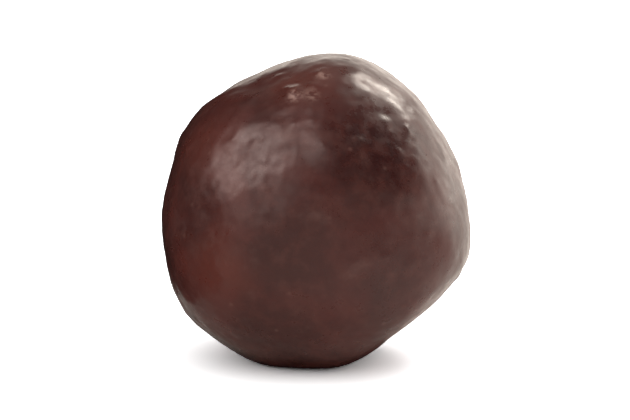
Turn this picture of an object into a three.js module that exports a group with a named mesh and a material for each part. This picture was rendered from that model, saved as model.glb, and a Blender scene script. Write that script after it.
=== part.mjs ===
// A whole strawberry in a thick coat of dark chocolate, tumbled in a pan until no leaf or seed shows.
// It is one closed lump of chocolate. Its broad sides are gently bowed, where the fruit's own sides
// press through the coat, and turn into each other over soft ridges. Low swells, finer ripples and
// some small nubs lie on them. Millimetres, +Z up, and the front is -Y. The origin is the middle of
// the small flat spot's plane, below the middle of the lump's bounding box.

import * as THREE from "three";
import { mergeVertices } from "three/addons/utils/BufferGeometryUtils.js";

// No point of the broad form is further than this from the lump's heart.
const ballRadius = 13.6;

// How tightly the form turns from one side to the next.
const sharpness = 16;

// A side is part of a large ball. Turn is in degrees round from +X towards +Y and tilt in degrees
// up from level, reach is how far the side lies from the heart, and bow is its large ball's radius.
const usualBow = 28;
const flattestBow = 150;
const roundestBow = 15;
const sides = [
  { name: "right", turn: 4, tilt: 19.5, reach: 12.15, bow: usualBow },
  { name: "lower right", turn: -8.5, tilt: -49, reach: 11.45, bow: flattestBow },
  { name: "lower left", turn: 187, tilt: -32, reach: 13.0, bow: usualBow },
  { name: "left", turn: 173, tilt: 7.5, reach: 11.7, bow: usualBow },
  { name: "upper left", turn: 173, tilt: 60.5, reach: 12.2, bow: usualBow },
  { name: "crown", turn: -60, tilt: 79, reach: 14.7, bow: usualBow },
  { name: "upper right", turn: 10, tilt: 48.5, reach: 13.35, bow: usualBow },
  { name: "front", turn: -95, tilt: -8, reach: 11.8, bow: usualBow },
  { name: "front, upper left", turn: -130, tilt: 36, reach: 12.0, bow: usualBow },
  { name: "front, upper right", turn: -48, tilt: 40, reach: 12.2, bow: usualBow },
  { name: "lower front", turn: -100, tilt: -50, reach: 12.6, bow: usualBow },
  { name: "back", turn: 85, tilt: 5, reach: 11.9, bow: usualBow },
  { name: "back, right", turn: 40, tilt: -14, reach: 12.5, bow: usualBow },
  { name: "lower back", turn: 70, tilt: -44, reach: 12.4, bow: usualBow },
  { name: "upper back", turn: 120, tilt: 42, reach: 12.4, bow: usualBow },
  { name: "base", turn: 0, tilt: -84, reach: 13.0, bow: roundestBow },
];

// The flat spot that it rests on lies this far below the heart.
const seatDepth = 11.4;

// Low relief of the coat: sets of crossing waves, their longest and shortest, and their usual height.
const swells = { waves: 16, longest: 11, shortest: 6, height: 0.09 };
const ripples = { waves: 24, longest: 4.4, shortest: 2.6, height: 0.02 };

// Small nubs of chocolate: where they sit, how wide they are and how far they stand out.
const nubs = [
  { turn: -106, tilt: 64, width: 1.5, height: 0.26 },
  { turn: -90, tilt: 66, width: 1.1, height: 0.16 },
  { turn: -67, tilt: 40, width: 1.1, height: 0.12 },
  { turn: -105, tilt: -2, width: 1.2, height: 0.14 },
  { turn: -107, tilt: 14, width: 1.1, height: 0.1 },
  { turn: -14, tilt: -20, width: 1.2, height: 0.12 },
  { turn: 35, tilt: 20, width: 1.4, height: 0.2 },
  { turn: 72, tilt: -28, width: 1.1, height: 0.14 },
  { turn: 100, tilt: 48, width: 1.2, height: 0.16 },
  { turn: 150, tilt: -12, width: 1.5, height: 0.2 },
];

// Each of the sphere's twenty faces is split into this many steps a side.
const stepsPerSide = 20;

const goldenAngle = Math.PI * (3 - Math.sqrt(5));
const goldenShare = (Math.sqrt(5) - 1) / 2;

// The unit vector at a turn and tilt in degrees.
function direction({ turn, tilt }) {
  const angle = THREE.MathUtils.degToRad(turn);
  const rise = THREE.MathUtils.degToRad(tilt);
  const level = Math.cos(rise);
  return new THREE.Vector3(level * Math.cos(angle), level * Math.sin(angle), Math.sin(rise));
}

// How far the side's large ball reaches from the heart along a unit vector.
function sideRadius(side, unit) {
  const behind = side.bow - side.reach;
  const back = behind * unit.dot(side.facing);
  return Math.sqrt(back * back + side.bow * side.bow - behind * behind) - back;
}

// The broad form, as a distance from the heart along a unit vector: the space that all the large
// balls share, with its corners eased. A high sharpness comes close to the shortest of them.
function formRadius(unit) {
  let sum = ballRadius ** -sharpness;
  for (const side of sides) sum += sideRadius(side, unit) ** -sharpness;
  return sum ** (-1 / sharpness);
}

// Waves in evenly spread directions, with lengths and starts stepped so that they never line up.
// The result swings about zero, and its usual height is the set's.
function crossingWaves({ waves, longest, shortest, height }) {
  const set = [];
  for (let i = 0; i < waves; i++) {
    const z = 1 - (2 * i + 1) / waves;
    const level = Math.sqrt(1 - z * z);
    const length = shortest + (longest - shortest) * ((i * goldenShare) % 1);
    const along = new THREE.Vector3(level * Math.cos(i * goldenAngle), level * Math.sin(i * goldenAngle), z);
    along.multiplyScalar((2 * Math.PI) / length);
    set.push({ along, start: 2 * Math.PI * ((i * Math.SQRT2) % 1) });
  }
  const share = height * Math.sqrt(2 / waves);
  return (point) => share * set.reduce((sum, wave) => sum + Math.sin(point.dot(wave.along) + wave.start), 0);
}

// The nubs together: each is a round hump that falls off as a bell curve.
function nubHeight(unit) {
  let height = 0;
  for (const nub of nubs) {
    const away = unit.distanceTo(nub.facing) * ballRadius;
    height += nub.height * Math.exp(-((2 * away / nub.width) ** 2));
  }
  return height;
}

// Moves every point of an evenly split sphere out to the coat's surface. Points that face down
// stop at the flat spot.
function coatGeometry() {
  const sphere = new THREE.IcosahedronGeometry(1, stepsPerSide - 1);
  sphere.deleteAttribute("normal");
  sphere.deleteAttribute("uv");
  const geometry = mergeVertices(sphere, 1e-5);
  const swellAt = crossingWaves(swells);
  const rippleAt = crossingWaves(ripples);
  const points = geometry.getAttribute("position");
  const unit = new THREE.Vector3();
  const onBall = new THREE.Vector3();
  for (let i = 0; i < points.count; i++) {
    unit.fromBufferAttribute(points, i).normalize();
    onBall.copy(unit).multiplyScalar(ballRadius);
    let radius = formRadius(unit) + swellAt(onBall) + rippleAt(onBall) + nubHeight(unit);
    if (unit.z < 0) radius = Math.min(radius, seatDepth / -unit.z);
    points.setXYZ(i, unit.x * radius, unit.y * radius, unit.z * radius);
  }
  geometry.computeVertexNormals();
  geometry.computeBoundingBox();
  return geometry;
}

for (const side of sides) side.facing = direction(side);
for (const nub of nubs) nub.facing = direction(nub);

const darkChocolate = new THREE.MeshStandardMaterial({
  name: "dark chocolate",
  color: new THREE.Color().setRGB(0.29, 0.18, 0.155, THREE.SRGBColorSpace),
  roughness: 0.42,
  metalness: 0,
});

const coat = new THREE.Mesh(coatGeometry(), darkChocolate);
coat.name = "coated_strawberry";
const middle = coat.geometry.boundingBox.getCenter(new THREE.Vector3());
coat.position.set(-middle.x, -middle.y, seatDepth);

const strawberry = new THREE.Group();
strawberry.name = "chocolate coated strawberry";
strawberry.add(coat);

export default strawberry;
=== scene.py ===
"""A strawberry in a polished dark chocolate coat, on a plain pale floor in soft studio light.

The coat is one closed surface. Its distance from the lump's heart, along every direction, is that of
the broad form with low waves of relief and small nubs added to it, cut short at a flat spot below.
"""

import math

import bpy
import numpy as np
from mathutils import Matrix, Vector


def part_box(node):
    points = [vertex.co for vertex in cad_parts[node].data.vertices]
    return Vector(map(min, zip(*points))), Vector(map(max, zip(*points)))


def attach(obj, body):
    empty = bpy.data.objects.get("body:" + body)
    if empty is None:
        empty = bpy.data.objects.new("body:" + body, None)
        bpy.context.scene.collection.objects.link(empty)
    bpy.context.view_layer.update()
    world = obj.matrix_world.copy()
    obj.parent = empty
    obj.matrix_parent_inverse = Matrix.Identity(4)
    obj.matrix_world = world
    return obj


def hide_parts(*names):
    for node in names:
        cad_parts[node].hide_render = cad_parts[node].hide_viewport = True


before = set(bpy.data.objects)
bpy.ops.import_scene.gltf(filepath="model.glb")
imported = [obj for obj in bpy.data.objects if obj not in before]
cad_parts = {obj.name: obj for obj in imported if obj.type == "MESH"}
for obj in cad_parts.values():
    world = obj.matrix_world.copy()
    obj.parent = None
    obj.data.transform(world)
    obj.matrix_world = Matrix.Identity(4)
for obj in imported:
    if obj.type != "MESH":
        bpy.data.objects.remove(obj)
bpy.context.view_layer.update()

MM = 0.001
NODE = "coated_strawberry"

# The broad form, in millimetres: the ball round it, and how far the flat spot lies below the heart.
BALL_RADIUS = 13.6
SEAT_DEPTH = 11.4

# How tightly the form turns from side to side, and how tightly it turns under at the flat spot.
SHARPNESS = 16.0
SEAT_SHARPNESS = 70.0

# Unit vectors that fall more than this may meet the flat spot.
LEAST_FALL = 0.1

# A side is part of a large ball. Turn goes from +X towards +Y and tilt up from level, in degrees;
# reach is how far the side lies from the heart, and bow is its large ball's radius.
USUAL_BOW = 28
FLATTEST_BOW = 150
ROUNDEST_BOW = 15
SIDES = {
    "right": (4, 19.5, 12.15, USUAL_BOW),
    "lower right": (-8.5, -49, 11.45, FLATTEST_BOW),
    "lower left": (187, -32, 13.0, USUAL_BOW),
    "left": (173, 7.5, 11.7, USUAL_BOW),
    "upper left": (173, 60.5, 12.2, USUAL_BOW),
    "crown": (-60, 79, 14.7, USUAL_BOW),
    "upper right": (10, 48.5, 13.35, USUAL_BOW),
    "front": (-95, -8, 11.8, USUAL_BOW),
    "front, upper left": (-130, 36, 12.0, USUAL_BOW),
    "front, upper right": (-48, 40, 12.2, USUAL_BOW),
    "lower front": (-100, -50, 12.6, USUAL_BOW),
    "back": (85, 5, 11.9, USUAL_BOW),
    "back, right": (40, -14, 12.5, USUAL_BOW),
    "lower back": (70, -44, 12.4, USUAL_BOW),
    "upper back": (120, 42, 12.4, USUAL_BOW),
    "base": (0, -84, 13.0, ROUNDEST_BOW),
}

# Relief of the coat: how many crossing waves, and in millimetres the longest, the shortest and
# their usual height.
SWELLS = (16, 11.0, 6.0, 0.09)
RIPPLES = (24, 4.4, 2.6, 0.02)
DIMPLES = (60, 2.1, 0.9, 0.009)

# Fine nubs, scattered at random from a fixed seed: how many, and the least and most of their widths
# and heights in millimetres.
FINE_NUBS = (110, (0.45, 0.95), (0.01, 0.045))
SEED = 7

# Nubs of chocolate: turn and tilt in degrees, width and height in millimetres.
NUBS = [
    (-106, 64, 1.5, 0.26),
    (-90, 66, 1.1, 0.16),
    (-67, 40, 1.1, 0.12),
    (-105, -2, 1.2, 0.14),
    (-107, 14, 1.1, 0.10),
    (-14, -20, 1.2, 0.12),
    (35, 20, 1.4, 0.20),
    (72, -28, 1.1, 0.14),
    (100, 48, 1.2, 0.16),
    (150, -12, 1.5, 0.20),
]

# Low nubs on the shown side that catch the light, written the same way.
FLECKS = [
    (-100, 61, 0.9, 0.09),
    (-114, 66, 0.8, 0.08),
    (-94, 63, 0.7, 0.07),
    (-81, 73, 0.9, 0.08),
    (-91, 49, 0.8, 0.05),
    (-34, 42, 0.9, 0.07),
    (-86, 20, 0.9, 0.05),
    (-119, -30, 0.9, 0.05),
]

# Each of the six square grids that wrap the lump has this many steps a side.
GRID_STEPS = 128

GOLDEN_ANGLE = math.pi * (3 - math.sqrt(5))
GOLDEN_SHARE = (math.sqrt(5) - 1) / 2


def direction(turn, tilt):
    """The unit vector at a turn and tilt in degrees."""
    turn, tilt = math.radians(turn), math.radians(tilt)
    return np.array([math.cos(tilt) * math.cos(turn), math.cos(tilt) * math.sin(turn), math.sin(tilt)])


def wrapped_grids(steps):
    """Unit vectors and four-sided faces of six square grids wrapped round a ball.

    On each side of a cube a grid runs over two parameters from -1 to 1. Each parameter is bent by a
    tangent, so that the steps are even once the cube's points are pushed onto the ball. Points are
    named by their whole-number place on the cube, so neighbouring grids share their seams.
    """
    across, along = np.meshgrid(np.arange(steps + 1), np.arange(steps + 1), indexing="ij")
    corner = np.arange(steps)
    i, j = (g.ravel() for g in np.meshgrid(corner, corner, indexing="ij"))
    row = steps + 1
    square = np.stack([i * row + j, (i + 1) * row + j, (i + 1) * row + j + 1, i * row + j + 1], axis=1)
    places, faces = [], []
    for axis in range(3):
        for end in (0, steps):
            grid = np.empty((row * row, 3), int)
            grid[:, axis] = end
            grid[:, (axis + 1) % 3] = across.ravel()
            grid[:, (axis + 2) % 3] = along.ravel()
            outward = square if end else square[:, ::-1]
            faces.append(outward + len(places) * row * row)
            places.append(grid)
    shared, which = np.unique(np.concatenate(places), axis=0, return_inverse=True)
    cube = np.tan((2 * shared / steps - 1) * math.pi / 4)
    units = cube / np.linalg.norm(cube, axis=1, keepdims=True)
    return units, which.ravel()[np.concatenate(faces)]


def form_radius(units):
    """The broad form's distance from the heart along unit vectors.

    Each side's large ball gives the distance at which the direction leaves it. The form takes the
    shortest of them, eased where they cross: each distance is raised to minus the sharpness, these
    are added, and the same root of the sum is the form's distance.
    """
    total = np.full(len(units), BALL_RADIUS**-SHARPNESS)
    for turn, tilt, reach, bow in SIDES.values():
        behind = bow - reach
        back = behind * (units @ direction(turn, tilt))
        total += (np.sqrt(back**2 + bow**2 - behind**2) - back) ** -SHARPNESS
    return total ** (-1 / SHARPNESS)


def crossing_waves(units, waves, longest, shortest, height):
    """Relief at unit vectors: a sum of sine waves that cross the ball in evenly spread directions.

    The directions step by the golden angle, the lengths by the golden share and the starts by the
    root of two, so that the waves never line up. The sum's usual height is the height given.
    """
    step = np.arange(waves)
    rise = 1 - (2 * step + 1) / waves
    level = np.sqrt(1 - rise**2)
    around = step * GOLDEN_ANGLE
    along = np.stack([level * np.cos(around), level * np.sin(around), rise], axis=1)
    length = shortest + (longest - shortest) * ((step * GOLDEN_SHARE) % 1)
    start = 2 * math.pi * ((step * math.sqrt(2)) % 1)
    angle = units @ (along * (2 * math.pi * BALL_RADIUS / length)[:, None]).T + start
    return height * math.sqrt(2 / waves) * np.sin(angle).sum(axis=1)


def bell(away, width, top):
    """A nub's height: its top times e to minus the square of twice the distance away over its width."""
    return top * np.exp(-((2 * away / width) ** 2))


def nub_height(units):
    """Height of the nubs at unit vectors: the sum of a bell curve round each nub's middle."""
    height = np.zeros(len(units))
    for turn, tilt, width, top in NUBS + FLECKS:
        away = np.linalg.norm(units - direction(turn, tilt), axis=1) * BALL_RADIUS
        height += bell(away, width, top)
    return height


def fine_nub_height(units):
    """Height of the fine nubs at unit vectors: the same sum, with every nub drawn at random."""
    count, widths, tops = FINE_NUBS
    draws = np.random.default_rng(SEED)
    middles = draws.normal(size=(count, 3))
    middles /= np.linalg.norm(middles, axis=1, keepdims=True)
    width = draws.uniform(*widths, count)
    top = draws.uniform(*tops, count)
    away = BALL_RADIUS * np.sqrt(np.maximum(2 - 2 * units @ middles.T, 0))
    return bell(away, width, top).sum(axis=1)


def coat_points(units, middle, seat):
    """Points of the coat, in metres: each unit vector times the sum of form, nubs and relief.

    Points that face down stop at the flat spot: their distance and the flat spot's are joined as
    those of two sides are, with a sharpness of their own. The lump stands on the seat's height, and
    its box is centred on the middle given.
    """
    radius = form_radius(units) + nub_height(units) + fine_nub_height(units)
    for waves in (SWELLS, RIPPLES, DIMPLES):
        radius += crossing_waves(units, *waves)
    fall = -units[:, 2]
    down = fall > LEAST_FALL
    level = SEAT_DEPTH / fall[down]
    joined = radius[down] ** -SEAT_SHARPNESS + level**-SEAT_SHARPNESS
    radius[down] = joined ** (-1 / SEAT_SHARPNESS)
    points = units * (radius * MM)[:, None]
    points[:, :2] += middle - (points[:, :2].min(axis=0) + points[:, :2].max(axis=0)) / 2
    points[:, 2] += seat + SEAT_DEPTH * MM
    return points


def mesh_object(name, points, faces, material):
    """A smooth-shaded object from arrays of points and four-sided faces."""
    mesh = bpy.data.meshes.new(name)
    mesh.vertices.add(len(points))
    mesh.vertices.foreach_set("co", points.astype(np.float32).ravel())
    mesh.loops.add(faces.size)
    mesh.loops.foreach_set("vertex_index", faces.astype(np.int32).ravel())
    mesh.polygons.add(len(faces))
    mesh.polygons.foreach_set("loop_start", np.arange(0, faces.size, faces.shape[1], dtype=np.int32))
    mesh.update(calc_edges=True)
    mesh.validate()
    mesh.shade_smooth()
    mesh.materials.append(material)
    made = bpy.data.objects.new(name, mesh)
    bpy.context.scene.collection.objects.link(made)
    return made


def sheet_object(name, corners, material):
    """A flat object with four corners."""
    return mesh_object(name, np.array(corners), np.array([[0, 1, 2, 3]]), material)


class Recipe:
    """A node tree, with short ways to add nodes. A value is a number, a colour or a node's output."""

    def __init__(self, tree):
        self.tree = tree

    def feed(self, socket, value):
        """Links an output to a socket, or sets the socket to a plain value."""
        if isinstance(value, bpy.types.NodeSocket):
            self.tree.links.new(value, socket)
        else:
            socket.default_value = value

    def node(self, kind, feeds, **settings):
        """Adds a node, sets and feeds it, and gives back all its outputs."""
        node = self.tree.nodes.new(kind)
        for name, value in settings.items():
            setattr(node, name, value)
        for name, value in feeds.items():
            self.feed(node.inputs[name], value)
        return node.outputs

    def add(self, kind, output, feeds, **settings):
        """Adds a node as above, and gives back one of its outputs."""
        return self.node(kind, feeds, **settings)[output]

    def place(self, shift=(0, 0, 0)):
        """The place on the object, moved by a shift in millimetres."""
        here = self.add("ShaderNodeTexCoord", "Object", {})
        return self.add("ShaderNodeMapping", "Vector", {"Vector": here, "Location": Vector(shift) * MM})

    def noise(self, size, detail=2.0, roughness=0.5, distortion=0.0, shift=(0, 0, 0)):
        """Noise with patches of about this size in millimetres."""
        feeds = {
            "Vector": self.place(shift),
            "Scale": 1 / (size * MM),
            "Detail": detail,
            "Roughness": roughness,
            "Distortion": distortion,
        }
        return self.add("ShaderNodeTexNoise", "Fac", feeds)

    def dots(self, spacing, width, limit, shift=(0, 0, 0)):
        """Round soft dots, in millimetres: 1 in the middle of a dot and 0 outside.

        They lie in cells as wide as the spacing. Each cell has a random colour, and only the cells
        that are darker than the limit hold a dot.
        """
        cells = self.node("ShaderNodeTexVoronoi", {"Vector": self.place(shift), "Scale": 1 / (spacing * MM)})
        dot = self.stretch(cells["Distance"], 0, width / spacing / 2, 1, 0)
        chosen = self.math("LESS_THAN", cells["Color"], limit)
        return self.math("MULTIPLY", dot, chosen)

    def stretch(self, value, low, high, to_low=0.0, to_high=1.0):
        """Maps low to high onto to_low to to_high, smoothly and held at the ends."""
        feeds = {"Value": value, "From Min": low, "From Max": high, "To Min": to_low, "To Max": to_high}
        return self.add("ShaderNodeMapRange", "Result", feeds, interpolation_type="SMOOTHSTEP")

    def patch(self, middle, width, shift=(0, 0, 0)):
        """A broad soft patch, in millimetres: about 1 at its middle and 0 outside.

        Noise adds up to a third of the width to the distance from its middle, so its edge is uneven.
        """
        ends = {0: self.place(), 1: Vector(middle) * MM}
        away = self.add("ShaderNodeVectorMath", "Value", ends, operation="DISTANCE")
        uneven = self.math("MULTIPLY", self.noise(width / 3, detail=3, shift=shift), width * MM / 3)
        return self.stretch(self.math("ADD", away, uneven), width * MM / 6, width * MM * 2 / 3, 1, 0)

    def math(self, operation, first, second):
        """What an operation, such as a sum or a product, makes of two values."""
        return self.add("ShaderNodeMath", 0, {0: first, 1: second}, operation=operation)

    def number_mix(self, share, first, second):
        """A number between two others. The number sockets of a mix node are its third and fourth."""
        return self.add("ShaderNodeMix", 0, {0: share, 2: first, 3: second}, data_type="FLOAT")

    def colour_mix(self, share, first, second):
        """A colour between two others. The colour sockets of a mix node are its seventh and eighth."""
        return self.add("ShaderNodeMix", 2, {0: share, 6: first, 7: second}, data_type="RGBA")

    def veil(self, below, mask, colour, strength):
        """A colour with a veil of another over it, as far as the mask and the strength let it show."""
        return self.colour_mix(self.math("MULTIPLY", mask, strength), below, srgb(*colour))


def new_material(name):
    """A material, its recipe and its shader's inputs."""
    material = bpy.data.materials.new(name)
    material.use_nodes = True
    return material, Recipe(material.node_tree), material.node_tree.nodes["Principled BSDF"].inputs


def srgb(red, green, blue):
    """A linear colour from the 0 to 255 values that a screen shows, by the screen standard's curve."""
    shares = np.array([red, green, blue]) / 255
    linear = np.where(shares <= 0.04045, shares / 12.92, ((shares + 0.055) / 1.055) ** 2.4)
    return (*linear.tolist(), 1.0)


# The coat's colours, as a screen shows them: its own brown in the dark and the light of its clouds,
# a redder brown, which on the lower left is painted warm light, the deepest brown, which above the
# front on the right is painted shade, and the pale colour of painted glints.
DARK_BROWN = (62, 29, 25)
LIGHT_BROWN = (75, 34, 29)
RED_BROWN_AND_PAINTED_LIGHT = (96, 43, 32)
DEEP_BROWN_AND_PAINTED_SHADE = (42, 12, 11)
PAINTED_GLINT_COLOUR = (156, 120, 108)

# What veils the brown: a colour, and how far it shows.
MOTTLE = ((82, 43, 36), 0.45)
HAZE = ((134, 108, 98), 0.1)
SPECKS = ((128, 92, 80), 0.22)

# Where those red, deep and pale places are: the middle of each patch, its width in millimetres and
# how far its colour comes through.
RED_AND_PAINTED_LIGHT_PATCHES = [
    # The first of these paints warm light onto the lower left of the front.
    ((-7.5, -9, 9.5), 9.5, 0.7),
    ((-8.5, -5, 18), 9, 0.5),
    ((-1, -4, 23), 9, 0.6),
    ((9, 8, 6), 11, 0.7),
    ((3, 10, 19), 9, 0.5),
]
DEEP_AND_PAINTED_SHADE_PATCHES = [
    # The first of these paints shade onto the front, above on the right.
    ((4.5, -8, 19), 12, 0.9),
    ((6, -9.5, 9.5), 11, 0.45),
    ((-5, -8.5, 5), 6, 0.25),
    ((-4, 11, 11), 11, 0.8),
    ((11, 1, 12), 7, 0.4),
]
# Painted glints on the crown, pale where small bumps would catch the light.
PAINTED_GLINT_PATCHES = [
    ((-1.6, -5.9, 22.3), 2.2, 0.7),
    ((-0.4, -6.1, 22.4), 2.0, 0.55),
    ((0.5, -4.0, 23.4), 1.8, 0.65),
]

# How dull the polish is from its clearest to its dullest, what a fine grain adds or takes, and what
# a deep or painted-shade patch takes. Noise sets the first two, and nearly all of it lies within its span.
NOISE_SPAN = (0.3, 0.7)
DULLNESS = (0.28, 0.4)
GRAIN = 0.03
DEEP_AND_SHADE_GLOSS = 0.1

# Those of the shader's values that are the same all over the coat.
GLOSS = {"IOR": 1.46, "Specular IOR Level": 0.3, "Coat Weight": 0.15, "Coat Roughness": 0.2}

# How deep the orange peel is, in millimetres, and how deep a pit is as a share of that.
PEEL_DEPTH = 0.02
PIT_SHARE = 0.9


def strongest(recipe, patches):
    """The strongest of several patches at each point."""
    share = 0.0
    for middle, width, strength in patches:
        weighed = recipe.math("MULTIPLY", recipe.patch(middle, width, shift=middle), strength)
        share = recipe.math("MAXIMUM", share, weighed)
    return share


def chocolate_brown(recipe, deep_and_shade):
    """Two browns in soft clouds, with red and deep patches and crumbled pale glints.

    Some patches are painted warm light and painted shade, and the glints are painted highlights.
    Over them lie a mottle, a faint haze and a few light specks.
    """
    clouds = recipe.stretch(recipe.noise(5.0, detail=3, distortion=0.6), low=0.35, high=0.68)
    brown = recipe.colour_mix(clouds, srgb(*DARK_BROWN), srgb(*LIGHT_BROWN))
    # Red patches, one of them painted warm light.
    brown = recipe.colour_mix(strongest(recipe, RED_AND_PAINTED_LIGHT_PATCHES), brown, srgb(*RED_BROWN_AND_PAINTED_LIGHT))
    # Deep patches, one of them painted shade.
    brown = recipe.colour_mix(deep_and_shade, brown, srgb(*DEEP_BROWN_AND_PAINTED_SHADE))
    # Painted glints, broken up by fine noise.
    glint_breakup = recipe.stretch(recipe.noise(0.5, detail=3, roughness=0.6, shift=(4, 6, 1)), low=0.38, high=0.6)
    painted_glints = recipe.math("MULTIPLY", strongest(recipe, PAINTED_GLINT_PATCHES), glint_breakup)
    brown = recipe.colour_mix(painted_glints, brown, srgb(*PAINTED_GLINT_COLOUR))
    mottle = recipe.stretch(recipe.noise(1.3, detail=3, roughness=0.6, shift=(3, 1, 7)), low=0.42, high=0.72)
    brown = recipe.veil(brown, mottle, *MOTTLE)
    haze = recipe.stretch(recipe.noise(2.8, detail=5, roughness=0.65, shift=(11, 5, 2)), low=0.54, high=0.78)
    brown = recipe.veil(brown, haze, *HAZE)
    specks = recipe.dots(spacing=1.4, width=0.55, limit=0.3, shift=(2, 8, 5))
    return recipe.veil(brown, specks, *SPECKS)


def chocolate_dullness(recipe, deep_and_shade):
    """How rough the polish is: a slow drift and a fine grain, with less where the brown is deep or painted
    shade.
    """
    polish = recipe.noise(1.6, detail=4, roughness=0.6, shift=(5, 9, 4))
    drift = recipe.stretch(polish, *NOISE_SPAN, *DULLNESS)
    grain = recipe.stretch(recipe.noise(0.4, detail=3, shift=(8, 2, 6)), *NOISE_SPAN, -GRAIN, GRAIN)
    dullness = recipe.math("ADD", drift, grain)
    return recipe.math("SUBTRACT", dullness, recipe.math("MULTIPLY", deep_and_shade, DEEP_AND_SHADE_GLOSS))


def chocolate_relief(recipe):
    """The slopes of a fine orange peel with a few tiny pits in it."""
    peel = recipe.noise(0.75, detail=4)
    pits = recipe.dots(spacing=1.9, width=0.3, limit=0.2, shift=(6, 3, 9))
    height = recipe.math("SUBTRACT", peel, recipe.math("MULTIPLY", pits, PIT_SHARE))
    feeds = {"Height": height, "Strength": 1.0, "Distance": PEEL_DEPTH * MM}
    return recipe.add("ShaderNodeBump", "Normal", feeds)


def dark_chocolate():
    """Polished dark chocolate, uneven in colour, in polish and in relief, with light, shade and glints
    painted into its colour.
    """
    material, recipe, shader = new_material("dark chocolate")
    # Deep patches, painted shade among them.
    deep_and_shade = strongest(recipe, DEEP_AND_PAINTED_SHADE_PATCHES)
    recipe.feed(shader["Base Color"], chocolate_brown(recipe, deep_and_shade))
    recipe.feed(shader["Roughness"], chocolate_dullness(recipe, deep_and_shade))
    recipe.feed(shader["Normal"], chocolate_relief(recipe))
    for name, value in GLOSS.items():
        shader[name].default_value = value
    return material


def make_coat():
    """The chocolate coat, in the place of the plain solid."""
    low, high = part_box(NODE)
    units, faces = wrapped_grids(GRID_STEPS)
    middle = np.array([(low.x + high.x) / 2, (low.y + high.y) / 2])
    coat = mesh_object("chocolate_coat", coat_points(units, middle, low.z), faces, dark_chocolate())
    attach(coat, "root")
    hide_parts(NODE)


# Plain white, and the tints of what the coat mirrors: warm, but rosy on the left and above the front.
WHITE = (1.0, 1.0, 1.0)
WARM = (1.0, 0.91, 0.81)
ROSY = (1.0, 0.82, 0.76)

# The floor reaches this far each way, in metres, and lies this far under the flat spot, in
# millimetres, so that the two never share a plane.
FLOOR_REACH = 6.0
FLOOR_DROP = 0.01

# How much light the floor's paper gives back: in plain light, to the camera, which overexposes it,
# and in reflections. Those go from dim to bright over these distances to the right and to the back,
# in millimetres.
PAPER = 1.0
PAPER_SEEN = 2.0
PAPER_MIRRORED = (0.5, 1.3)
PAPER_FADE_ACROSS = (-22, 28)
PAPER_FADE_BACK = (-60, -5)

# Under the lump, reflections of the paper are only this bright, a painted shadow. They are so up to
# the first of these distances from the lump's middle, and no longer from the second, in millimetres.
PAPER_PAINTED_SHADOW = 0.05
PAPER_PAINTED_SHADOW_REACH = (5.4, 7.6)


def bright(colour, strength):
    """A colour made brighter or dimmer."""
    return (*(strength * share for share in colour), 1.0)


def mirrored_paper(recipe):
    """The paper as the coat mirrors it: warm, dimmer on the left and in front, and darkest at the lump,
    where a shadow is painted.
    """
    here = recipe.place()
    axes = recipe.node("ShaderNodeSeparateXYZ", {"Vector": here})
    across = recipe.stretch(axes["X"], *(edge * MM for edge in PAPER_FADE_ACROSS))
    back = recipe.stretch(axes["Y"], *(edge * MM for edge in PAPER_FADE_BACK))
    fade = recipe.math("MULTIPLY", across, back)
    paper = recipe.colour_mix(fade, *(bright(WARM, strength) for strength in PAPER_MIRRORED))
    # A painted shadow darkens the mirrored paper under the lump.
    away = recipe.add("ShaderNodeVectorMath", "Value", {0: here}, operation="LENGTH")
    painted_shadow = recipe.stretch(away, *(edge * MM for edge in PAPER_PAINTED_SHADOW_REACH), 1, 0)
    return recipe.colour_mix(painted_shadow, paper, bright(WARM, PAPER_PAINTED_SHADOW))


def floor_paper():
    """White paper that is overexposed to the camera, and warmer and dimmer in reflections, with a painted
    shadow under the lump.
    """
    material, recipe, shader = new_material("floor paper")
    ray = recipe.node("ShaderNodeLightPath", {})
    paper = recipe.colour_mix(ray["Is Glossy Ray"], bright(WHITE, PAPER), mirrored_paper(recipe))
    paper = recipe.colour_mix(ray["Is Camera Ray"], paper, bright(WHITE, PAPER_SEEN))
    recipe.feed(shader["Base Color"], paper)
    shader["Roughness"].default_value = 1.0
    shader["Specular IOR Level"].default_value = 0.0
    return material


def make_floor():
    """A wide pale floor just under the flat spot."""
    far = FLOOR_REACH
    height = -FLOOR_DROP * MM
    corners = [(-far, -far, height), (far, -far, height), (far, far, height), (-far, far, height)]
    floor = sheet_object("floor", corners, floor_paper())


# The cards' colour, as a screen shows it.
CARD_BLACK = (20, 14, 12)


def make_card(name, start, end, top):
    """An upright dark card that only reflections see, from start to end on the floor, in millimetres."""
    (x0, y0), (x1, y1) = np.array([start, end]) * MM
    corners = [(x0, y0, 0), (x1, y1, 0), (x1, y1, top * MM), (x0, y0, top * MM)]
    black, _, shader = new_material("black card")
    shader["Base Color"].default_value = srgb(*CARD_BLACK)
    shader["Specular IOR Level"].default_value = 0.0
    card = sheet_object(name, corners, black)
    card.visible_camera = False
    card.visible_diffuse = False
    card.visible_shadow = False


def make_cards():
    """Dark cards at the left and at the back on the left, which keep that side of the coat deep."""
    make_card("left card", start=(-16, -14), end=(-16, 22), top=18)
    make_card("back card", start=(-70, 30), end=(-11, 30), top=44)


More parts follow.
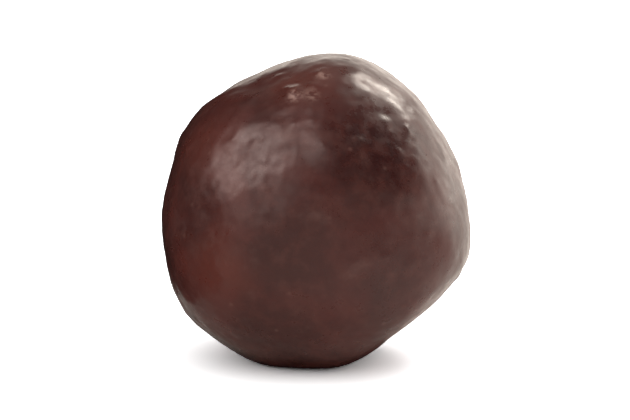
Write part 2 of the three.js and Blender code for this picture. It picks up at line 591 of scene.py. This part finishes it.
def soft_box(name, turn, tilt, distance, width, height, brightness, colour=WHITE, mirrored=True):
    """A rectangular light that faces the lump from a turn and tilt in degrees, sizes in metres.

    It is as bright as given at its middle and fades to nothing at its edges: a place on it runs from
    0 to 1 both ways, so both the middle and the way from there to an edge are a half. A mirrored box
    shows only in reflections, and any other lights only matt surfaces.
    """
    light = bpy.data.lights.new(name, "AREA")
    light.shape = "RECTANGLE"
    light.size = width
    light.size_y = height
    light.energy = brightness * width * height * math.pi
    light.color = colour
    light.use_nodes = True
    recipe = Recipe(light.node_tree)
    half = 0.5
    ends = {0: recipe.add("ShaderNodeNewGeometry", "Parametric", {}), 1: (half, half, 0)}
    away = recipe.add("ShaderNodeVectorMath", "Value", ends, operation="DISTANCE")
    recipe.feed(light.node_tree.nodes["Emission"].inputs["Strength"], recipe.stretch(away, 0, half, 1, 0))
    lamp = bpy.data.objects.new(name, light)
    towards = Vector(direction(turn, tilt))
    lamp.location = towards * distance
    lamp.rotation_mode = "QUATERNION"
    lamp.rotation_quaternion = towards.to_track_quat("Z", "Y")
    lamp.visible_camera = False
    lamp.visible_diffuse = not mirrored
    lamp.visible_glossy = mirrored
    bpy.context.scene.collection.objects.link(lamp)


def make_lights():
    """Studio light: a key behind on the right, and the boxes that the coat mirrors."""
    soft_box("key box", 44, 52, distance=1.2, width=1.1, height=1.1, brightness=5.0, mirrored=False)
    soft_box("rim box", 51, 36, distance=1.0, width=0.38, height=0.36, brightness=33.0, colour=WARM)
    soft_box("side box", 32, 26, distance=1.0, width=0.35, height=0.45, brightness=6.0, colour=WARM)
    soft_box("left box", 194, 45, distance=1.1, width=0.9, height=1.05, brightness=8.8, colour=ROSY)
    soft_box("left glow", 226, 18, distance=1.1, width=1.7, height=1.3, brightness=1.9, colour=ROSY)
    soft_box("top box", -108, 67, distance=1.1, width=1.0, height=1.0, brightness=5.4, colour=ROSY)
    soft_box("back box", 88, 60, distance=1.1, width=1.2, height=1.1, brightness=0.8, colour=WARM)


# How bright the white room is on matt surfaces.
ROOM = 1.0

# In reflections its walls go from dim, in front and on the left, to bright, behind on the right. The
# turn of the brightest direction is in degrees. The walls start to brighten where the cosine of the
# angle to it is the first of these, and are brightest from the second.
WALLS = (0.4, 2.9)
BRIGHT_WALL_TURN = 40
BRIGHT_WALL_COSINES = (0, 0.9)

# The walls fade to the dark ceiling between two heights in degrees.
WALL_TOPS = (3, 34)
CEILING = 0.04


def mirrored_room(recipe):
    """How bright the room is in reflections: its walls, and above them the ceiling."""
    towards = recipe.add("ShaderNodeTexCoord", "Generated", {})
    axes = recipe.node("ShaderNodeSeparateXYZ", {"Vector": towards})
    across, back, _ = direction(BRIGHT_WALL_TURN, 0)
    across_part = recipe.math("MULTIPLY", axes["X"], across)
    back_part = recipe.math("MULTIPLY", axes["Y"], back)
    walls = recipe.stretch(recipe.math("ADD", across_part, back_part), *BRIGHT_WALL_COSINES, *WALLS)
    low, high = (math.sin(math.radians(top)) for top in WALL_TOPS)
    wall_share = recipe.stretch(axes["Z"], low, high, 1, 0)
    return recipe.number_mix(wall_share, CEILING, walls)


def make_room():
    """A white room, with a dark ceiling in reflections."""
    world = bpy.data.worlds.new("room")
    world.use_nodes = True
    recipe = Recipe(world.node_tree)
    plain = world.node_tree.nodes["Background"]
    plain.inputs["Color"].default_value = (*WHITE, 1.0)
    plain.inputs["Strength"].default_value = ROOM
    feeds = {"Color": (*WARM, 1.0), "Strength": mirrored_room(recipe)}
    shine = recipe.add("ShaderNodeBackground", "Background", feeds)
    ray = recipe.add("ShaderNodeLightPath", "Is Glossy Ray", {})
    choice = recipe.add("ShaderNodeMixShader", "Shader", {0: ray, 1: plain.outputs["Background"], 2: shine})
    recipe.feed(world.node_tree.nodes["World Output"].inputs["Surface"], choice)
    bpy.context.scene.world = world


# The camera stands at the photograph's angle, a little above the front. Its frame is 90 pixels of
# the photograph wide, and at the lump such a pixel is this many millimetres. Distance in metres,
# and the point that it is aimed at in millimetres.
CAMERA_TILT = 12.8
CAMERA_DISTANCE = 1.3
PIXEL = 0.548
FRAME_PIXELS = 90
AIM = (-0.08, 0.0, 11.78)


def make_camera():
    """A long lens that shows the lump as the photograph does, only larger."""
    data = bpy.data.cameras.new("camera")
    data.sensor_fit = "HORIZONTAL"
    data.sensor_width = 36.0
    data.lens = data.sensor_width * CAMERA_DISTANCE / (FRAME_PIXELS * PIXEL * MM)
    data.clip_start = 0.1
    data.clip_end = 30.0
    camera = bpy.data.objects.new("camera", data)
    back = Vector(direction(-90, CAMERA_TILT))
    camera.location = Vector(AIM) * MM + back * CAMERA_DISTANCE
    camera.rotation_mode = "QUATERNION"
    camera.rotation_quaternion = back.to_track_quat("Z", "Y")
    bpy.context.scene.collection.objects.link(camera)
    bpy.context.scene.camera = camera


make_coat()
make_floor()
make_cards()
make_lights()
make_room()
make_camera()
bpy.context.scene.view_settings.view_transform = "Standard"
bpy.context.scene.view_settings.look = "None"
